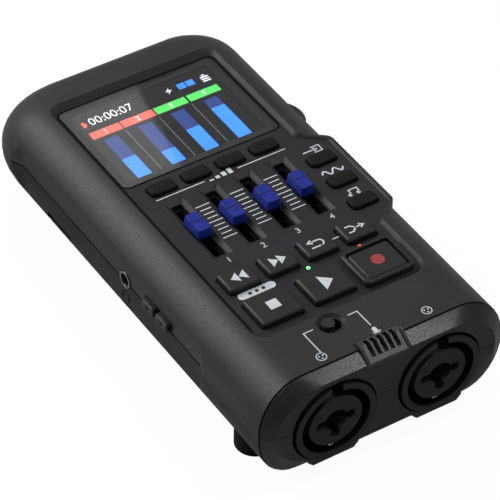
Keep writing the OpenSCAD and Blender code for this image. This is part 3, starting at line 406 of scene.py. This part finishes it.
# Print on the control panel: scale lines, channel numbers, group lines, level bars and pictograms
TICKS, TICK_PITCH, TICK_TOP, TICK_SHIFT = 9, 1.625, 6.5, 0.2
LONG_EVERY, LONG_HALF, SHORT_HALF = 4, 1.85, 1.35
NUMBER_H, NUMBER_SHIFT, NUMBER_DROP = 1.9, 0.3, 13.8
GROUP_DROP, GROUP_LINES = 3.3, ((-18.4, -4.7), (5.4, 19.2))
LEVELS, LEVEL_X, LEVEL_PITCH, LEVEL_W, LEVEL_DROP, LEVEL_STEP = 4, -3.3, 1.9, 1.2, 0.75, 0.5
SIGN_RISE = 4.2
DASH_FROM, DASH_TO, DASH_RISE = -0.5, 1.1, 0.8
mark_mesh = bmesh.new()
low, high = PANEL_Z - FILM, PANEL_Z + FILM
for lane, next_lane in zip(LANES, LANES[1:]):
    cx = (lane[0] + next_lane[0]) / 2 + TICK_SHIFT
    for i in range(TICKS):
        y = LANES[0][1] + TICK_TOP - TICK_PITCH * i
        half = LONG_HALF if i % LONG_EVERY == 0 else SHORT_HALF
        stroke(mark_mesh, [(cx - half, y), (cx + half, y)], LINE, low, high)
for i, (x, y) in zip(TRACK_NUMBERS, LANES):
    digits(mark_mesh, str(i), NUMBER_H, x + NUMBER_SHIFT, y - NUMBER_DROP, low, high)
line_y = TRACKS[0][1] - GROUP_DROP
for x0, x1 in GROUP_LINES:
    stroke(mark_mesh, [(x0, line_y), (x1, line_y)], LINE, low, high)
for i in range(LEVELS):
    x, y = LEVEL_X + LEVEL_PITCH * i, line_y - LEVEL_DROP
    bar(mark_mesh, x, y, x + LEVEL_W, y + LEVEL_STEP * (i + 1), low, high)
for mark, (x, y) in zip((input_mark, wave_mark, note_mark), FUNCTIONS):
    mark(mark_mesh, x, y + SIGN_RISE, low, high)
undo_x, _ = middle("undo_key")
merge_x, merge_y = middle("merge_key")
cx = (undo_x + merge_x) / 2
stroke(mark_mesh, [(cx + DASH_FROM, merge_y + DASH_RISE), (cx + DASH_TO, merge_y + DASH_RISE)], ARROW_LINE, low, high)
add_piece("panel_print", mark_mesh, M_PRINT, "case")

# Pale plate above the stop key, with a row of dark dots
PLATE_RISE, PLATE_R, PLATE_LEFT, PLATE_RIGHT = 7.5, 1.15, -4.0, 4.2
DOT_R, DOT_PITCH, DOT_SHIFT = 0.5, 1.9, 0.1
x, y = middle("stop_key")
y += PLATE_RISE
plate = bmesh.new()
prism(plate, arc(x + PLATE_LEFT, y, PLATE_R, 90, 270, 8) + arc(x + PLATE_RIGHT, y, PLATE_R, -90, 90, 8), low, high)
add_piece("menu_plate", plate, M_PRINT, "case")
dots = bmesh.new()
for i in (-1, 0, 1):
    disc(dots, x + DOT_SHIFT + DOT_PITCH * i, y, DOT_R, PANEL_Z, PANEL_Z + 2 * FILM, 20)
add_piece("menu_plate_dots", dots, M_PANEL, "case")

# On the top in front of the panel: leader lines of the source switch, a microphone and two socket faces
LEADER_SHIFT = 0.9
MIC_X, MIC_R, MIC_TOP, MIC_LOW, CRADLE_DROP, CRADLE_R = 7.5, 0.6, 6.9, 7.8, 7.6, 1.05
SOCKET_X, SOCKET_DROP, SOCKET_R, PIN_RING, PIN_R, PIN_TURNS = 15.0, 8.3, 1.25, 0.6, 0.24, (30, 150, 270)
x, y = middle("source_knob")
x += LEADER_SHIFT
mark_mesh = bmesh.new()
low, high = RIM_Z - FILM, RIM_Z + FILM
stroke(mark_mesh, [(x - 5.1, y + 0.4), (x - 7.7, y + 0.4), (x - 7.6, y - 7.2)], LINE, low, high)
stroke(mark_mesh, [(x + 4.9, y + 0.2), (x + 7.4, y + 0.2), (x + 7.5, y - 5.4)], LINE, low, high)
prism(mark_mesh, arc(x + MIC_X, y - MIC_TOP, MIC_R, 0, 180, 8) + arc(x + MIC_X, y - MIC_LOW, MIC_R, 180, 360, 8),
      low, high)
stroke(mark_mesh, arc(x + MIC_X, y - CRADLE_DROP, CRADLE_R, 200, 340, 8), HAIR, low, high)
for cx in (-SOCKET_X, SOCKET_X):
    cy = y - SOCKET_DROP
    stroke(mark_mesh, arc(cx, cy, SOCKET_R, 0, 360, 20), HAIR, low, high)
    for turn in PIN_TURNS:
        disc(mark_mesh, *polar(cx, cy, PIN_RING, turn), PIN_R, low, high, 12)
add_piece("front_print", mark_mesh, M_PRINT, "case")


# Symbols on the keys
def symbol(key, name, shapes, material=M_PRINT):
    x, y = middle(key)
    z = top(key)
    bm = bmesh.new()
    for shape in shapes:
        prism(bm, [(x + a, y + b) for a, b in shape], z - FILM, z + FILM)
    add_piece(name, bm, material, key)


def wedge(x, size, way):
    return [(x, 0), (x - way * size, size * 0.8), (x - way * size, -size * 0.8)]


WIND, PLAY, STOP_HALF, RECORD_R = 2.1, 3.3, 1.5, 1.75
symbol("rewind_key", "rewind_symbol", [wedge(-2.2, WIND, -1), wedge(0.0, WIND, -1)])
symbol("forward_key", "forward_symbol", [wedge(0.0, WIND, 1), wedge(2.2, WIND, 1)])
symbol("stop_key", "stop_symbol", [[(-STOP_HALF, -STOP_HALF), (STOP_HALF, -STOP_HALF), (STOP_HALF, STOP_HALF),
                                    (-STOP_HALF, STOP_HALF)]])
symbol("play_key", "play_symbol", [wedge(2.0, PLAY, 1)])
symbol("record_key", "record_symbol", [arc(0, 0, RECORD_R, 0, 360, 40)[:-1]], M_DOT)


def key_mark(key, name, draw):
    x, y = middle(key)
    bm = bmesh.new()
    draw(bm, x, y, top(key) - FILM, top(key) + FILM)
    add_piece(name, bm, M_PRINT, key)


def undo_mark(bm, x, y, a, b):
    stroke(bm, arc(x + 0.7, y, 1.05, -90, 90, 12) + [(x - 1.2, y + 1.05)], KEY_LINE, a, b)
    prism(bm, [(x - 1.0, y + 0.15), (x - 1.0, y + 1.95), (x - 2.6, y + 1.05)], a, b)
    stroke(bm, [(x + 0.7, y - 1.05), (x - 1.9, y - 1.05)], KEY_LINE, a, b)


def merge_mark(bm, x, y, a, b):
    for side in (-1, 1):
        stroke(bm, [(x - 2.4, y + 1.1 * side), (x - 1.2, y + 1.1 * side), (x - 0.1, y)], KEY_LINE, a, b)
    stroke(bm, [(x - 0.1, y), (x + 1.3, y)], KEY_LINE, a, b)
    prism(bm, [(x + 1.1, y - 0.95), (x + 2.6, y), (x + 1.1, y + 0.95)], a, b)


key_mark("undo_key", "undo_symbol", undo_mark)
key_mark("merge_key", "merge_symbol", merge_mark)

# Picture on the display, under the window: y is counted from the window's middle
_, WINDOW_Y = middle("display_window")
SCREEN_Z = top("display_module")
SCREEN_STEP = 0.02
SCREEN_HALF_W, SCREEN_HALF_L = 20.9, 14.85
METER_X = [-17.2, -7.2, 2.65, 12.5]
METER_TOP = [-5.75, -8.35, -4.35, -0.55]
METER_W, METER_LOW, METER_HIGH = 4.0, -14.15, 3.25
HEADS = [(-19.2, -10.5), (-10.1, -0.6), (-0.2, 9.1), (9.7, 19.0)]
HEAD_LOW, HEAD_HIGH, HEAD_MID, HEAD_DIGIT = 4.65, 7.35, 6.0, 1.7
DIVIDER_X, DIVIDER_HALF, DIVIDER_TOP = (-10.4, -0.5, 9.35), 0.12, 3.85
CLOCK_H, CLOCK_X, CLOCK_Y, CLOCK_STRETCH = 2.9, -10.5, 11.0, 0.93
CELL_LEFT, CELL_RIGHT, CELL_LOW, CELL_BAR, CELL_PITCH = 16.7, 19.0, 9.6, 0.5, 0.85
SQUARE_X, SQUARE_Y, SQUARE = (9.8, 12.4), 10.25, 2.2
FLASH = [(7.5, 12.45), (6.0, 11.15), (6.9, 11.15), (6.4, 10.05), (8.0, 11.45), (7.1, 11.45)]


def picture(name, material, draw, level=1):
    bm = bmesh.new()
    draw(bm, SCREEN_Z + SCREEN_STEP * level, SCREEN_Z + SCREEN_STEP * (level + 1))
    bmesh.ops.translate(bm, verts=bm.verts, vec=(0, WINDOW_Y * MM, 0))
    add_piece(name, bm, material, "case")


def draw_back(bm, a, b):
    bar(bm, -SCREEN_HALF_W, -SCREEN_HALF_L, SCREEN_HALF_W, SCREEN_HALF_L, a, b)


def draw_white(bm, a, b):
    digits(bm, "00:00:07", CLOCK_H, CLOCK_X, CLOCK_Y, a, b, CLOCK_STRETCH)
    for i, (x0, x1) in zip(TRACK_NUMBERS, HEADS):
        digits(bm, str(i), HEAD_DIGIT, (x0 + x1) / 2, HEAD_MID, b, 2 * b - a)
    for i in range(3):
        y = CELL_LOW + CELL_PITCH * i
        bar(bm, CELL_LEFT, y, CELL_RIGHT, y + CELL_BAR, a, b)
    bar(bm, 17.4, 12.1, 18.3, 12.5, a, b)
    prism(bm, FLASH, a, b)


def draw_heads(bm, heads, a, b):
    for x0, x1 in heads:
        bar(bm, x0, HEAD_LOW, x1, HEAD_HIGH, a, b)


def draw_red(bm, a, b):
    draw_heads(bm, HEADS[:2], a, b)
    prism(bm, arc(-18.9, 10.85, 1.15, -90, 90, 14), a, b)


def draw_green(bm, a, b):
    draw_heads(bm, HEADS[2:], a, b)


def draw_bright(bm, a, b):
    for x, y in zip(METER_X, METER_TOP):
        bar(bm, x, METER_LOW, x + METER_W, y, a, b)
    for x in SQUARE_X:
        bar(bm, x, SQUARE_Y, x + SQUARE, SQUARE_Y + SQUARE, a, b)


def draw_dim(bm, a, b):
    for x, y in zip(METER_X, METER_TOP):
        bar(bm, x, y, x + METER_W, METER_HIGH, a, b)


def draw_grey(bm, a, b):
    for x in DIVIDER_X:
        bar(bm, x - DIVIDER_HALF, METER_LOW, x + DIVIDER_HALF, DIVIDER_TOP, a, b)


picture("screen_back", M_SCREEN_BACK_AND_SHADE, draw_back, 0)
for name, material, draw in (("screen_white", M_WHITE, draw_white), ("screen_red", M_RED, draw_red),
                             ("screen_green", M_GREEN, draw_green), ("screen_blue", M_BRIGHT, draw_bright),
                             ("screen_blue_dim", M_DIM, draw_dim), ("screen_grey", M_GREY, draw_grey)):
    picture(name, material, draw)


# Dark mask round the picture, just inside the window
def around_window(half_w, front, rear):
    return [(-half_w, WINDOW_Y - front), (half_w, WINDOW_Y - front), (half_w, WINDOW_Y + rear),
            (-half_w, WINDOW_Y + rear)]


MASK_LOW, MASK_HIGH = 0.01, 0.04
mask_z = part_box("display_window")[0].z / MM
outer, inner = around_window(23.0, 17.0, 17.0), around_window(20.5, 14.55, 14.75)
mask = bmesh.new()
for i in range(4):
    j = (i + 1) % 4
    prism(mask, [outer[i], outer[j], inner[j], inner[i]], mask_z + MASK_LOW, mask_z + MASK_HIGH)
add_piece("window_mask", mask, M_MASK, "case")

# Raised pin numbers on the inserts of the sockets, coloured near black as painted shade in place of the shading of
# numbers moulded in the insert
PIN_DIGIT = 1.7
PIN_MARKS = (("1", 4.0, 3.6), ("2", -4.3, 3.0), ("3", -3.2, -4.8))
mark_mesh = bmesh.new()
for name in ("combo_insert_a", "combo_insert_b"):
    low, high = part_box(name)
    face = front_face((low.x + high.x) / 2, low.y, (low.z + high.z) / 2)
    for mark, x, z in PIN_MARKS:
        digits(mark_mesh, mark, PIN_DIGIT, x, z, -FILM, 2 * FILM, 1.0, face)
add_piece("pin_numbers", mark_mesh, M_SOCKET_AND_SHADE, "case")

# Raised marks on the left side: a headphone sign under its socket, plus and minus on the volume buttons. They are
# moulded in the same plastic; their near-black colour is painted shade
COLLAR = 0.3
SIGN_DROP, SIGN_R, CUP_HALF, CUP_LOW, CUP_HIGH = 4.9, 1.5, 0.45, 1.1, 0.2
side = left_face(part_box("headphone_socket")[0].x + COLLAR * MM)
_, phones_y = middle("headphone_socket")
mark_mesh = bmesh.new()
cx, cz = -phones_y, PART_Z - SIGN_DROP
stroke(mark_mesh, arc(cx, cz, SIGN_R, 0, 180, 12), LINE, -FILM, FILM, side)
for x in (cx - SIGN_R, cx + SIGN_R):
    bar(mark_mesh, x - CUP_HALF, cz - CUP_LOW, x + CUP_HALF, cz + CUP_HIGH, -FILM, FILM, side)
add_piece("side_mark", mark_mesh, M_SWITCH_AND_SHADE, "case")
ARM, THIN = 0.75, 0.16
PLUS = [(ARM, -THIN), (ARM, THIN), (THIN, THIN), (THIN, ARM), (-THIN, ARM), (-THIN, THIN), (-ARM, THIN),
        (-ARM, -THIN), (-THIN, -THIN), (-THIN, -ARM), (THIN, -ARM), (THIN, -THIN)]
MINUS = [(-ARM, -THIN), (ARM, -THIN), (ARM, THIN), (-ARM, THIN)]
for name, mark, shape in (("volume_up_key", "plus_mark", PLUS), ("volume_down_key", "minus_mark", MINUS)):
    low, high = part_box(name)
    cx, cz = -(low.y + high.y) / 2 / MM, (low.z + high.z) / 2 / MM
    mark_mesh = bmesh.new()
    prism(mark_mesh, [(cx + u, cz + v) for u, v in shape], -FILM, 2 * FILM, left_face(low.x))
    add_piece(mark, mark_mesh, M_SWITCH_AND_SHADE, name)

# Painted shade in the gap round the display window: a near-black strip on the panel
WINDOW_BEND, WINDOW_SHADE_W, WINDOW_RISE = 2.0, 0.55, 0.4 * FILM
low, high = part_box("display_window")
half_w, half_l = (high.x - low.x) / 2 / MM - WINDOW_BEND, (high.y - low.y) / 2 / MM - WINDOW_BEND
ring = []
for way_x, way_y, start in ((1, 1, 0), (-1, 1, 90), (-1, -1, 180), (1, -1, 270)):
    ring += arc(way_x * half_w, WINDOW_Y + way_y * half_l, WINDOW_BEND, start, start + 90, 6)
shade_strip = bmesh.new()
stroke(shade_strip, ring + ring[:1], WINDOW_SHADE_W, PANEL_Z - FILM, PANEL_Z + WINDOW_RISE)
add_piece("window_gap_shade", shade_strip, M_SWITCH_AND_SHADE, "case")

# Painted shadow of the recess rim along the panel's left edge: a near-black strip
PANEL_SHADE_W, PANEL_RISE, PANEL_SHADE_FRONT, PANEL_SHADE_REAR = 0.5, 0.3 * FILM, 3.6, 2.6
low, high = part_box("control_panel")
x, y0, y1 = low.x / MM, low.y / MM + PANEL_SHADE_FRONT, high.y / MM - PANEL_SHADE_REAR
shade_strip = bmesh.new()
bar(shade_strip, x, y0, x + PANEL_SHADE_W, y1, PANEL_Z - FILM, PANEL_Z + PANEL_RISE)
add_piece("panel_rim_shadow", shade_strip, M_SWITCH_AND_SHADE, "case")

# Painted shade in the parting line across the front face, beside and between the sockets
FACE_SHADE_SPANS, FACE_HALF, FACE_RISE = ((-31.0, -27.2), (-2.9, 2.9), (27.2, 31.0)), 0.13, 0.4 * FILM
corner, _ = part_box("front_bezel_upper")
shade_strip = bmesh.new()
for x0, x1 in FACE_SHADE_SPANS:
    bar(shade_strip, x0, -FACE_HALF, x1, FACE_HALF, -FILM, FACE_RISE, front_face(0, corner.y, corner.z))
add_piece("parting_line_shade", shade_strip, M_SCREEN_BACK_AND_SHADE, "case")

# Painted shade in the parting groove along the left side, clear of the socket and of the volume buttons
GROOVE_FRONT, GROOVE_REAR, GROOVE_HALF, GROOVE_LOW, GROOVE_HIGH = -35.4, 50.0, 0.3, -0.3, 0.02
KEY_ROOM, SOCKET_ROOM = 0.5, 2.6
keys_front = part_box("volume_down_key")[0].y / MM - KEY_ROOM
keys_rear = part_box("volume_up_key")[1].y / MM + KEY_ROOM
shade_strip = bmesh.new()
for y0, y1 in ((GROOVE_FRONT, keys_front), (keys_rear, phones_y - SOCKET_ROOM),
               (phones_y + SOCKET_ROOM, GROOVE_REAR)):
    bar(shade_strip, -y1, PART_Z - GROOVE_HALF, -y0, PART_Z + GROOVE_HALF, GROOVE_LOW, GROOVE_HIGH, side)
add_piece("side_groove_shade", shade_strip, M_SWITCH_AND_SHADE, "case")


# White surroundings for the eye, paler ones in reflections and through glass
def seen_share(tn, links, straight, mirrored):
    path = add_node(tn, "ShaderNodeLightPath")
    mirror = add_node(tn, "ShaderNodeMath", operation="MAXIMUM")
    links.new(path.outputs["Is Glossy Ray"], mirror.inputs[0])
    links.new(path.outputs["Is Transmission Ray"], mirror.inputs[1])
    mirror_part = add_node(tn, "ShaderNodeMath", operation="MULTIPLY")
    mirror_part.inputs[1].default_value = mirrored
    links.new(mirror.outputs[0], mirror_part.inputs[0])
    eye_part = add_node(tn, "ShaderNodeMath", operation="MULTIPLY")
    eye_part.inputs[1].default_value = straight
    links.new(path.outputs["Is Camera Ray"], eye_part.inputs[0])
    share = add_node(tn, "ShaderNodeMath", operation="MAXIMUM")
    links.new(eye_part.outputs[0], share.inputs[0])
    links.new(mirror_part.outputs[0], share.inputs[1])
    return share.outputs[0]


# Floor and backdrop
FLOOR_HALF, FLOOR_GREY, FLOOR_GLOW = 4.0, 0.35, 1.07
floor_mesh = bpy.data.meshes.new("floor")
bm = bmesh.new()
bmesh.ops.create_grid(bm, x_segments=1, y_segments=1, size=FLOOR_HALF)
bm.to_mesh(floor_mesh)
bm.free()
floor = bpy.data.objects.new("floor", floor_mesh)
bpy.context.scene.collection.objects.link(floor)
floor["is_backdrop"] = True
floor_look, tn, links, shader = new_material("pale_floor")
shader.inputs["Base Color"].default_value = (FLOOR_GREY, FLOOR_GREY, FLOOR_GREY, 1)
shader.inputs["Roughness"].default_value = 0.8
shader.inputs["Specular IOR Level"].default_value = 0.1
glow = add_node(tn, "ShaderNodeEmission")
glow.inputs["Strength"].default_value = FLOOR_GLOW
mixer = add_node(tn, "ShaderNodeMixShader")
links.new(seen_share(tn, links, 0.9, 0.1), mixer.inputs["Fac"])
links.new(shader.outputs[0], mixer.inputs[1])
links.new(glow.outputs[0], mixer.inputs[2])
links.new(mixer.outputs[0], tn["Material Output"].inputs["Surface"])
floor_mesh.materials.append(floor_look)

# World: white to the eye, softer as light
WORLD_LIGHT, WORLD_SEEN = 0.2, 1.0
world = bpy.data.worlds.new("studio")
bpy.context.scene.world = world
world.use_nodes = True
wn, wl = world.node_tree.nodes, world.node_tree.links
backdrop = wn["Background"]
backdrop.inputs["Color"].default_value = (1, 1, 1, 1)
level = add_node(wn, "ShaderNodeMapRange")
level.inputs["To Min"].default_value = WORLD_LIGHT
level.inputs["To Max"].default_value = WORLD_SEEN
wl.new(seen_share(wn, wl, 1.0, 0.2), level.inputs["Value"])
wl.new(level.outputs["Result"], backdrop.inputs["Strength"])


# Lights: place and aim in metres, power in watts
def lamp(name, place, aim, size, power, roll=0.0):
    data = bpy.data.lights.new(name, "AREA")
    data.shape = "RECTANGLE"
    data.size, data.size_y = size
    data.energy = power
    holder = bpy.data.objects.new(name, data)
    bpy.context.scene.collection.objects.link(holder)
    holder.location = place
    facing = (Vector(aim) - Vector(place)).to_track_quat("-Z", "Y")
    holder.rotation_euler = (facing @ Quaternion((0, 0, 1), math.radians(roll))).to_euler()


PART_MIDDLE, DISPLAY_MIDDLE = (0, 0, 0.02), (0, 0.0335, 0.032)
lamp("key", (-0.40, 0.56, 0.60), PART_MIDDLE, (0.4, 0.6), 7.5)
lamp("edge", (-0.64, 0.55, 0.31), PART_MIDDLE, (0.3, 0.3), 1.3)
lamp("front_glint", (0.36, -0.19, 0.79), PART_MIDDLE, (0.3, 0.3), 3.2)

# Card behind the display, whose near edge shows as a slanted line in the glass
lamp("card", (0.1672, 0.4534, 0.4339), DISPLAY_MIDDLE, (0.14, 0.3), 0.112, 22.6)

# Camera at the photograph's viewing angle: its place in millimetres, its right and its up
CAMERA_AT = Vector((-313.78, -488.89, 542.02))
CAMERA_RIGHT = Vector((0.84374386, -0.53664702, 0.010309))
CAMERA_UP = Vector((0.35477018, 0.5719949, 0.73956741))
SENSOR_W, LENS = 36.0, 224.31
camera_data = bpy.data.cameras.new("camera")
camera_data.sensor_width = SENSOR_W
camera_data.lens = LENS
camera_data.clip_start, camera_data.clip_end = 0.01, 20
camera = bpy.data.objects.new("camera", camera_data)
bpy.context.scene.collection.objects.link(camera)
back = CAMERA_RIGHT.cross(CAMERA_UP).normalized()
up = back.cross(CAMERA_RIGHT).normalized()
turn = Matrix((CAMERA_RIGHT.normalized(), up, back)).transposed().to_4x4()
camera.matrix_world = Matrix.Translation(CAMERA_AT * MM) @ turn
bpy.context.scene.camera = camera
bpy.context.scene.view_settings.view_transform = "Standard"

low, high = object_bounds()
